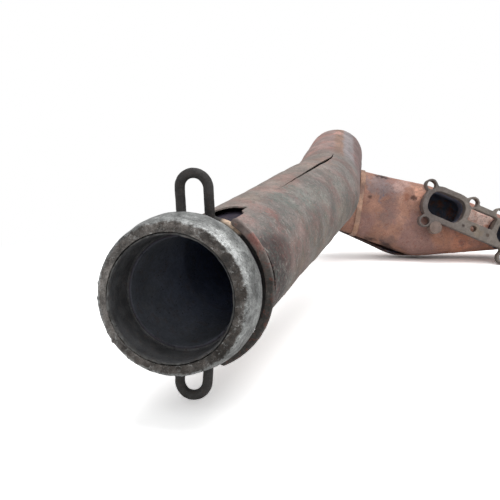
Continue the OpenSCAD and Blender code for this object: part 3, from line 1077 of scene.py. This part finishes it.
@dataclass
class Pipework:
    """The inner pipe and the two halves of its heat shield.

    Attributes:
        pipe: outside radius of the inner pipe, in millimetres.
        pipe_wall: its wall.
        shield: outside radius of the shield along the straight run.
        elbow: outside radius of the shield round the elbow.
        narrowing: the length over which it narrows from one to the other.
        wall: the shield's wall.
        around: the number of steps round a half.
        half_turn: how far round a half reaches from its front seam, in degrees.
        slit: the widest opening of the slit.
        slit_from: how far back the slit starts to open.
        slit_full: how far before the bend it has its full width.
        slit_past: how far past the start of the bend it has closed again.
        slit_taper: the length over which it closes.
        notch: radius of the notch in the left half's front corner.
        slot: half the width of the slot in the right half's front edge.
        slot_end: how far behind the left half's start the slot's end is centred.
        reach: how far the right half stands in front of the left half.
        step: the distance between stations.
    """

    pipe: float = 26.0
    pipe_wall: float = 1.0
    shield: float = 30.3
    elbow: float = 28.3
    narrowing: float = 70.0
    wall: float = 0.8
    around: int = 58
    half_turn: float = 179.85
    slit: float = 2.7
    slit_from: float = 112.0
    slit_full: float = 18.0
    slit_past: float = 30.0
    slit_taper: float = 42.0
    notch: float = 13.0
    slot: float = 2.2
    slot_end: float = 2.5
    reach: float = 13.5
    step: float = 1.9

    def inner_pipe(self) -> bpy.types.Object:
        """Sweeps the inner pipe along its centreline."""
        route = Route(PIPE_CORNERS, PIPE_BENDS, 2.5)
        around = [k * 7.5 for k in range(48)]
        rings = [route.ring(i, around, self.pipe) for i in range(len(route.points))]
        piece = Shop.loft("inner_pipe_sooted", rings, closed=True)
        Shop.wall(piece, self.pipe_wall * MM)
        Shop.relief(piece, Grain.CLOUDS, 0.012, 0.0003, 0.5, "", 3)
        Shop.apply(piece)
        Shop.smooth(piece, 40)
        return piece

    @staticmethod
    def pipe_tone(place: Vector) -> tuple[float, float, float, float]:
        """Colours the inner pipe: soot within, painted lighter and bluer with depth as painted
        light against the deep shade of the bore.
        """
        inside = min(Pipework.off_line(place, Vector(a), Vector(b))
                     for a, b in zip(PIPE_CORNERS, PIPE_CORNERS[1:])) < 25.5
        wander = 8 * noise.noise(place * 0.15)
        if inside:
            # Painted light: deeper in the bore the soot is painted lighter and bluer, in place of
            # the light that does not reach there.
            deep = ramp(place.y, 30, 90)
            return (84 + 8 * deep + wander, 88 + 14 * deep + wander, 96 + 36 * deep + wander, 0.05)
        # Painted light: the outside is painted a lighter violet-grey than soot for where it shows
        # in the shade of the notch.
        return (66 + wander, 60 + wander, 72 + wander, 0.05)

    @staticmethod
    def off_line(place: Vector, start: Vector, end: Vector) -> float:
        """Gives how far a place is from the line between two points."""
        run = end - start
        share = max(0.0, min(1.0, (place - start).dot(run) / run.length_squared))
        return (place - start - run * share).length

    def half(self, label: str, left: bool) -> bpy.types.Object:
        """Presses one half of the heat shield.

        Args:
            label: the new object's name.
            left: whether it is the left half.

        Returns:
            The half, with its wall.
        """
        start, end = Vector(PIPE_CORNERS[2]), Vector(PIPE_CORNERS[3])
        run = (end - start).normalized()
        corners = list(PIPE_CORNERS[2:])
        if not left:
            corners[0] = tuple(start - run * self.reach)
        route = Route(corners, PIPE_BENDS[2:], self.step)
        bend_y = self.bend_start()
        rings = []
        for index, spot in enumerate(route.points):
            radius = self.shield + (self.elbow - self.shield) * max(
                0.0, min(1.0, (spot.y - bend_y) / self.narrowing))
            gap = self.half_gap(spot, radius, bend_y, left)
            away = (spot - start).dot(run)
            if left:
                low, high = SEAM - self.half_turn, SEAM - gap
                if away < self.notch:
                    wide = math.sqrt(self.notch ** 2 - away ** 2)
                    high = min(high, SEAM - math.degrees(wide / radius))
            else:
                low, high = SEAM + gap, SEAM + self.half_turn
                past = away - self.slot_end
                if past < self.slot:
                    wide = math.sqrt(self.slot ** 2 - max(0.0, past) ** 2)
                    low = max(low, SEAM + math.degrees(wide / radius))
            clock = [low + (high - low) * k / self.around for k in range(self.around + 1)]
            rings.append(route.ring(index, clock, radius))
        piece = Shop.loft(label, rings, closed=False)
        Shop.relief(piece, Grain.CLOUDS, 0.045, 0.0014, 0.62, "", 1)
        Shop.relief(piece, Grain.CLOUDS, 0.012, 0.0007, 0.6, "", 3)
        Shop.relief(piece, Grain.STUCCO, 0.004, 0.0002, 0.6)
        Shop.wall(piece, self.wall * MM)
        Shop.apply(piece)
        Shop.smooth(piece, 50)
        return piece

    def half_gap(self, spot: Vector, radius: float, bend_y: float, left: bool) -> float:
        """Gives how far a half's edge stands off the seam.

        Args:
            spot: the station, in millimetres.
            radius: the shield's radius there.
            bend_y: how far back the bend starts.
            left: whether it is the left half.

        Returns:
            The angle round the pipe, in degrees.
        """
        opening = (spot.y - self.slit_from) / (bend_y - (self.slit_from + self.slit_full))
        closing = (bend_y + self.slit_past - spot.y) / self.slit_taper
        open_share = min(opening, 1.0, closing)
        gap = max(0.03, math.degrees(self.slit / radius / 2) * open_share)
        if gap > 0.4:
            gap += 0.25 * noise.noise(Vector((spot.y * 0.03, 5.0 if left else 9.0, 0)))
        return gap

    @staticmethod
    def bend_start() -> float:
        """Gives how far back the straight run ends, in millimetres."""
        arc = Route.bend(Vector(PIPE_CORNERS[2]), Vector(PIPE_CORNERS[3]),
                         Vector(PIPE_CORNERS[4]), PIPE_BENDS[2])
        return arc[0].y

    @staticmethod
    def shield_tone(place: Vector) -> tuple[float, float, float, float]:
        """Colours the shield: grey above, olive and brown below, warmer round the elbow, with
        painted light on its upper side, painted shade on its underside and a painted shadow beside
        the collar.
        """
        start, end = Vector(PIPE_CORNERS[2]), Vector(PIPE_CORNERS[3])
        run = (end - start).normalized()
        foot = start + run * (place - start).dot(run)
        off = (place - foot).normalized()
        # Painted light and shade: the upper side painted lighter and the underside darker, the
        # dome too; the same mask adds shine on the upper side.
        painted_top_light = ramp(off.z, -0.5, 0.8)
        far = ramp(place.y, 256, 300)
        rag = noise.noise(place * 0.04) + 0.6 * noise.noise(place * 0.12)
        warm = ramp(noise.noise(place * 0.05 + Vector((3, 8, 1))), -0.1, 0.35)
        left = ramp(-off.x, -0.55, -0.1)
        # Painted shadow: the collar's shadow, painted darker on the shield's lower front beside
        # the collar.
        near = 1.5 * (1 - ramp(place.y, 46, 70)) * ramp(-place.z, -27, -18)
        red = 130 + 18 * painted_top_light + 12 * rag + 8 * warm + 10 * left - 44 * near
        green = 124 + 16 * painted_top_light + 10 * rag - 5 * warm + 4 * left - 44 * near
        blue = 118 + 18 * painted_top_light + 10 * rag - 6 * warm + 1 * left - 42 * near
        if far > 0:
            side = place.x - 54.5 + 0.05 * (place.y - 285) + 1.2 * rag
            dome = Vector((176, 150, 145)) + Vector((14, -4, -8)) * warm
            for start_at, tint in ((-4.5, (172, 138, 122)), (3.5, (170, 160, 162)),
                                   (13.0, (148, 122, 120))):
                dome = dome.lerp(Vector(tint), ramp(side, start_at - 1.6, start_at + 1.6))
            dome += Vector((8, 7, 7)) * rag - Vector((26, 22, 20)) * (1 - painted_top_light)
            red, green, blue = Vector((red, green, blue)).lerp(dome, far)
        return (red, green, blue, 0.3 + 0.15 * painted_top_light)

    def build(self) -> None:
        """Builds and dresses the pipe and the shield's halves."""
        # The patch by the notch is painted light: violet-grey soot painted lighter where the pipe
        # lies in the notch's shade.
        Dresser.dress(self.inner_pipe(), Metal.PIPE, Coat(self.pipe_tone, (
            Patch((12, 58, 31), 22, (60, 54, 70), 0.9),)), ["inner_pipe"])
        patches = (
            Patch((26, 66, 33), 7, (164, 130, 124), 0.4),
            Patch((32, 68, 30), 5, (176, 122, 114), 0.5),
            Patch((37, 62, 22), 7, (150, 116, 112), 0.5),
            Patch((45, 72, 14), 8, (150, 120, 112), 0.5),
            Patch((20, 84, 38), 10, (164, 150, 138), 0.5),
            Patch((31, 128, 43), 12, (166, 144, 134), 0.5),
            Patch((40, 196, 54), 12, (166, 146, 134), 0.5),
            Patch((44, 225, 58), 11, (164, 142, 128), 0.5),
            Patch((34, 96, 34), 13, (128, 134, 128), 0.6),
            Patch((41, 120, 34), 12, (134, 140, 134), 0.55),
            Patch((46, 90, 24), 9, (142, 122, 116), 0.5),
            Patch((50, 104, 20), 12, (138, 120, 112), 0.5),
            Patch((50, 140, 36), 14, (140, 142, 134), 0.5),
            Patch((58, 190, 40), 18, (148, 144, 138), 0.5),
            Patch((50, 80, -2), 14, (124, 112, 98), 0.6),
            Patch((58, 130, 0), 24, (138, 124, 110), 0.5),
            Patch((61, 185, 10), 26, (146, 134, 122), 0.5),
            Patch((47, 376, 84), 9, (216, 166, 156), 0.75),
            Patch((33, 300, 66), 16, (184, 148, 140), 0.5),
            Patch((69, 313, 58), 10, (150, 112, 108), 0.7),
        )
        coat = Coat(self.shield_tone, patches, 0.9)
        Dresser.dress(self.half("shield_left_pressed", True), Metal.SHIELD, coat, ["shield_left"])
        Dresser.dress(self.half("shield_right_pressed", False), Metal.SHIELD, coat,
                      ["shield_right"])


@dataclass
class Manifold:
    """The manifold's shells, band, tab, port tubes and flange.

    Attributes:
        cell: the size of the shells' cells, in metres.
        valley: depth of the hollow down the front shell, in millimetres.
        pitch: the distance between the ports.
    """

    cell: float = 0.00125
    valley: float = 2.2
    pitch: float = 84.0

    def hollow(self, place: Vector) -> Vector:
        """Gives how a place on the shells is pressed in.

        Args:
            place: the place, in metres.

        Returns:
            The move, in metres.
        """
        spot = FLANGE_BACK @ place * 1000
        lean = spot.x + 62 + 0.1 * (spot.y + 20)
        deep = self.valley * math.exp(-(lean / 11) ** 2)
        ridge = -0.8 * math.exp(-((spot.x + 42) / 12) ** 2)
        soft = 1.6 * noise.noise(place * 22) + 0.7 * noise.noise(place * 60)
        return FLANGE.to_3x3() @ Vector((0, 0, -(deep + ridge + soft * 0.55 + 0.6) * MM)) * (
            1 if spot.z > -47 else -0.4)

    def shell(self, node: str) -> bpy.types.Object:
        """Presses one of the manifold's shells."""
        piece = Shop.rework(node, f"{node}_rusted", self.cell)
        Shop.ease(piece, 0.5, 3)
        Shop.apply(piece)
        Shop.press(piece, self.hollow)
        Shop.relief(piece, Grain.CLOUDS, 0.007, 0.0007, 0.8, "", 4)
        Shop.relief(piece, Grain.STUCCO, 0.003, 0.0002, 0.8)
        Shop.apply(piece)
        Shop.smooth(piece, 60)
        return piece

    @staticmethod
    def shell_tone(place: Vector) -> tuple[float, float, float, float]:
        """Colours the shells: mauve-grey above, orange-brown and red-brown below, dark along the
        seam lip and darker towards the back.
        """
        spot = FLANGE_BACK @ (place * MM) * 1000
        rise = ramp(spot.y, -50, 10)
        right = ramp(place.x, 140, 185)
        rag = noise.noise(place * 0.05) + 0.6 * noise.noise(place * 0.14)
        mauve = ramp(noise.noise(place * 0.035 + Vector((2, 5, 9))), 0.0, 0.35)
        red = 173 + 12 * rise + 11 * rag + 20 * right - 12 * mauve
        green = 130 + 11 * rise + 9 * rag + 8 * right - 5 * mauve
        blue = 112 + 12 * rise + 8 * rag + 3 * right + 4 * mauve
        # The dark seam lip is partly the dark weld seam and partly painted shade on the shells'
        # underside.
        lip = ramp(-spot.z, 44.5, 47) * (1 - ramp(-spot.z, 56, 62))
        behind = 34 * ramp(-spot.z, 56, 62)
        return (red + (66 - red) * lip - behind, green + (50 - green) * lip - 0.8 * behind,
                blue + (47 - blue) * lip - 0.7 * behind, 0.05)

    def port_flange(self) -> bpy.types.Object:
        """Rounds and pits the flange plate."""
        piece = Shop.rework("port_flange", "port_flange_pitted", 0.00072)
        Shop.ease(piece, 0.5, 4)
        Shop.relief(piece, Grain.CLOUDS, 0.006, 0.0007, 0.85, "", 4)
        Shop.relief(piece, Grain.STUCCO, 0.0028, 0.00025, 0.8)
        Shop.apply(piece)
        Shop.smooth(piece, 60)
        return piece

    def small(self, node: str, label: str, cell: float, height: float) -> bpy.types.Object:
        """Rounds and roughens one of the smaller pieces.

        Args:
            node: the CAD node's name.
            label: the new object's name.
            cell: the size of its cells, in metres.
            height: the height of its relief, in metres.

        Returns:
            The piece.
        """
        piece = Shop.rework(node, label, cell)
        Shop.ease(piece, 0.5, 3)
        Shop.relief(piece, Grain.CLOUDS, 0.004, height, 0.8, "", 3)
        Shop.apply(piece)
        Shop.smooth(piece, 60)
        return piece

    def soot(self) -> list[Patch]:
        """Gives the blue-black soot on whatever looks into the space behind the ports, painted
        much lighter as painted light against the shade there.
        """
        return [Patch(tuple(FLANGE @ mm(x, 0, -32) * 1000), 85, (112, 122, 144), 0.95, inner=True)
                for x in (0, self.pitch)]

    @staticmethod
    def plate_tone(place: Vector) -> tuple[float, float, float, float]:
        """Colours the flange plate in dark taupe-grey."""
        rag = 10 * noise.noise(place * 0.09) + 9 * noise.noise(place * 0.3)
        right = 16 * ramp(place.x, 150, 196)
        return (122 + rag + right, 113 + rag + right, 109 + rag + 0.8 * right, 0.25)

    @staticmethod
    def even(red: float, green: float, blue: float,
             shine: float = 0.0) -> Callable[[Vector], tuple[float, float, float, float]]:
        """Gives a ground colour with a slight wander."""
        def ground(place: Vector) -> tuple[float, float, float, float]:
            """Gives the colour at a place."""
            rag = 9 * noise.noise(place * 0.12)
            return (red + rag, green + rag, blue + rag, shine)
        return ground

    def build(self) -> None:
        """Builds and dresses the manifold's pieces."""
        patches = (
            Patch((91, 466, 31), 20, (156, 140, 140), 0.8),
            Patch((103, 468, 24), 16, (154, 138, 137), 0.6),
            Patch((119, 475, 31), 15, (208, 172, 162), 0.85),
            Patch((134, 473, 22), 12, (246, 188, 162), 0.97),
            Patch((118, 463, -12), 14, (188, 142, 120), 0.6),
            Patch((121, 462, 4), 12, (184, 138, 118), 0.6),
            Patch((104, 463, 4), 14, (146, 116, 110), 0.6),
            Patch((101, 460, -10), 12, (140, 116, 110), 0.6),
            Patch((103, 464, -36), 12, (118, 96, 90), 0.6),
            Patch((81, 459, 14), 4.5, (92, 66, 58), 0.8),
            Patch((130, 469, 14), 4.5, (92, 66, 60), 0.9),
            Patch((124, 468, 16), 5, (150, 96, 76), 0.6),
            Patch((186, 474, -36), 16, (188, 128, 104), 0.8),
            Patch((188, 475, -38), 5, (140, 92, 82), 0.5),
            Patch((166, 470, -36), 16, (172, 124, 102), 0.6),
            # Partly dark underside seam and partly painted shade: the dark band along the shell's
            # lower left edge.
            Patch((100, 470, -48), 14, (70, 54, 50), 0.7),
            Patch((84, 466, -38), 9, (76, 60, 54), 0.7),
            # Soot behind the ports, painted much lighter as painted light against the shade there.
            *self.soot(),
            # Painted light: the pink shell seen through the flange's window, painted near white in
            # place of the light the flange shades off.
            Patch((209, 485, -7), 22, (255, 226, 214), 0.97),
            Patch((212, 484, 0), 9, (255, 206, 196), 0.7),
            Patch((89, 471, 41), 6, (58, 50, 48), 0.97),
            Patch((95, 472, 40), 6, (58, 50, 48), 0.97),
            Patch((101, 474, 38.5), 5.5, (60, 52, 50), 0.95),
            Patch((112, 466, -22), 10, (164, 118, 98), 0.5),
        )
        coat = Coat(self.shell_tone, patches, 0.6)
        for node in ("manifold_front_shell", "manifold_rear_shell"):
            Dresser.dress(self.shell(node), Metal.MANIFOLD, coat, [node])
        rust = (
            Patch((72, 459, 24), 7, (150, 120, 112), 0.7),
            Patch((73, 457, 6), 11, (214, 172, 148), 0.9),
            Patch((68, 453, -20), 9, (190, 148, 122), 0.7),
            Patch((66, 451, -32), 5, (128, 92, 78), 0.7),
            Patch((73, 462, 37), 9, (216, 174, 150), 0.8),
        )
        Dresser.dress(self.small("neck_band", "neck_band_rusted", 0.00045, 0.0003), Metal.BAND,
                      Coat(self.even(178, 144, 126), rust), ["neck_band"])
        Dresser.dress(self.small("manifold_tab", "manifold_tab_dark", 0.0003, 0.0002),
                      Metal.COLLAR, Coat(self.even(64, 60, 58)), ["manifold_tab"])
        for number in (1, 2):
            node = f"port_tube_{number}"
            # Their insides carry the same soot, painted lighter as painted light against the shade
            # behind the ports.
            Dresser.dress(self.small(node, f"{node}_sooted", 0.0006, 0.0004), Metal.MANIFOLD,
                          Coat(self.even(128, 98, 84), self.soot()), [node])
        wear = (
            Patch((185, 458, -16), 2.6, (66, 54, 50), 0.9),
            Patch((212, 462, -27), 2.6, (84, 70, 62), 0.8),
            Patch((200, 462, -21), 8, (158, 138, 116), 0.5),
            Patch((146, 453, 10), 8, (126, 118, 116), 0.5),
        )
        Dresser.dress(self.port_flange(), Metal.PLATE, Coat(self.plate_tone, wear),
                      ["port_flange"])
        Dresser.dress(self.small("flange_plug", "flange_plug_pitted", 0.0004, 0.0004), Metal.PLATE,
                      Coat(self.even(142, 124, 115, 0.2)), ["flange_plug"])


# ---------------------------------------------------------------- the studio


@dataclass(frozen=True)
class Lamp:
    """A soft square lamp.

    Attributes:
        label: its name.
        place: where it hangs, in metres.
        aim: what it points at.
        size: its width.
        power: its power in watts.
    """

    label: str
    place: tuple[float, float, float]
    aim: tuple[float, float, float]
    size: float
    power: float

    def hang(self) -> None:
        """Hangs the lamp."""
        Shop.clear()
        bpy.ops.object.light_add(type="AREA", location=self.place)
        lamp = bpy.context.object
        lamp.name = self.label
        lamp.data.shape = "SQUARE"
        lamp.data.size = self.size
        lamp.data.energy = self.power
        way = Vector(self.aim) - Vector(self.place)
        lamp.rotation_euler = way.to_track_quat("-Z", "Y").to_euler()


@dataclass
class Studio:
    """The floor, the light and the camera.

    Attributes:
        floor_z: the height of the floor, in metres.
        spread: half the floor's width, in metres.
        bounce: the grey with which the floor lights the object.
        glare: the white with which the floor is seen.
        sky: the strength of the soft light.
        middle: the place in plan round which the floor keeps the shadow, in metres.
        fade: the distances from there between which the floor turns plain white.
        lamps: the lamps.
        eye: the camera's place, in metres.
        gaze: the direction in which it looks.
        lens: its focal length, in millimetres.
        sensor: the width of its sensor.
    """

    floor_z: float
    spread: float = 3.0
    bounce: float = 0.8
    glare: float = 2.1
    sky: float = 0.46
    middle: tuple[float, float] = (0.08, 0.25)
    fade: tuple[float, float] = (0.3, 0.55)
    lamps: tuple[Lamp, ...] = (Lamp("overhead", (0.25, 0.25, 1.3), (0.08, 0.25, 0), 1.2, 9.2),
                               Lamp("front", (0.5, -1.1, 0.9), (0.1, 0.2, 0), 1.0, 4.8))
    eye: tuple[float, float, float] = (0.0802, -0.2228, 0.0581)
    gaze: tuple[float, float, float] = (-0.198, 0.968, -0.156)
    lens: float = 41.76
    sensor: float = 36.0

    def floor(self) -> None:
        """Lays a plain pale floor that keeps the object's shadow."""
        Shop.clear()
        bpy.ops.mesh.primitive_plane_add(size=2 * self.spread, location=(0, 0.3, self.floor_z))
        piece = Shop.name("floor")
        Shop.settle(piece)
        material = bpy.data.materials.new("pale floor")
        material.use_nodes = True
        bench = Bench(material)
        material.node_tree.nodes.remove(material.node_tree.nodes["Principled BSDF"])
        seen = bench.add("ShaderNodeLightPath").outputs["Is Camera Ray"]
        tone = bench.add("ShaderNodeMix")
        tone.data_type = "RGBA"
        bench.join(seen, tone.inputs["Factor"])
        tone.inputs[6].default_value = (*3 * (self.bounce,), 1)
        tone.inputs[7].default_value = (*3 * (self.glare,), 1)
        near = bench.add("ShaderNodeBsdfDiffuse")
        bench.join(tone.outputs[2], near.inputs["Color"])
        far = bench.add("ShaderNodeEmission")
        away = bench.add("ShaderNodeVectorMath")
        away.operation = "DISTANCE"
        bench.join(bench.add("ShaderNodeTexCoord").outputs["Object"], away.inputs[0])
        away.inputs[1].default_value = (*self.middle, self.floor_z)
        fade = bench.add("ShaderNodeMath")
        fade.operation = "MULTIPLY"
        bench.join(bench.span(away.outputs["Value"], *self.fade, 0, 1), fade.inputs[0])
        bench.join(seen, fade.inputs[1])
        mix = bench.add("ShaderNodeMixShader")
        bench.join(fade.outputs[0], mix.inputs["Fac"])
        bench.join(near.outputs["BSDF"], mix.inputs[1])
        bench.join(far.outputs["Emission"], mix.inputs[2])
        bench.join(mix.outputs["Shader"],
                   material.node_tree.nodes["Material Output"].inputs["Surface"])
        piece.data.materials.append(material)

    def world(self) -> None:
        """Gives a white surround to the eye and to reflections, and soft light to the rest."""
        world = bpy.data.worlds.new("white room")
        bpy.context.scene.world = world
        world.use_nodes = True
        nodes, links = world.node_tree.nodes, world.node_tree.links
        back = nodes["Background"]
        back.inputs["Color"].default_value = (1, 1, 1, 1)
        path = nodes.new("ShaderNodeLightPath")
        seen = nodes.new("ShaderNodeMath")
        seen.operation = "MAXIMUM"
        links.new(path.outputs["Is Camera Ray"], seen.inputs[0])
        links.new(path.outputs["Is Transmission Ray"], seen.inputs[1])
        strength = nodes.new("ShaderNodeMapRange")
        links.new(seen.outputs[0], strength.inputs["Value"])
        strength.inputs["To Min"].default_value = self.sky
        strength.inputs["To Max"].default_value = 1.0
        links.new(strength.outputs["Result"], back.inputs["Strength"])

    def camera(self) -> None:
        """Sets the camera at the outlet's mouth, a little above it and to its right."""
        bpy.ops.object.camera_add(location=self.eye)
        camera = bpy.context.object
        camera.data.lens = self.lens
        camera.data.sensor_width = self.sensor
        camera.data.clip_start = 0.01
        camera.rotation_euler = Vector(self.gaze).to_track_quat("-Z", "Y").to_euler()
        bpy.context.scene.camera = camera

    def build(self) -> None:
        """Builds the whole studio."""
        self.floor()
        self.world()
        for lamp in self.lamps:
            lamp.hang()
        self.camera()
        bpy.context.scene.view_settings.view_transform = "Standard"


def main() -> None:
    """Builds the assembly and its studio."""
    logging.basicConfig(level=logging.INFO, format="%(message)s")
    Outlet().build()
    Pipework().build()
    Manifold().build()
    Studio(CAD_BOX[0][2]).build()


if __name__ == "__main__":
    main()
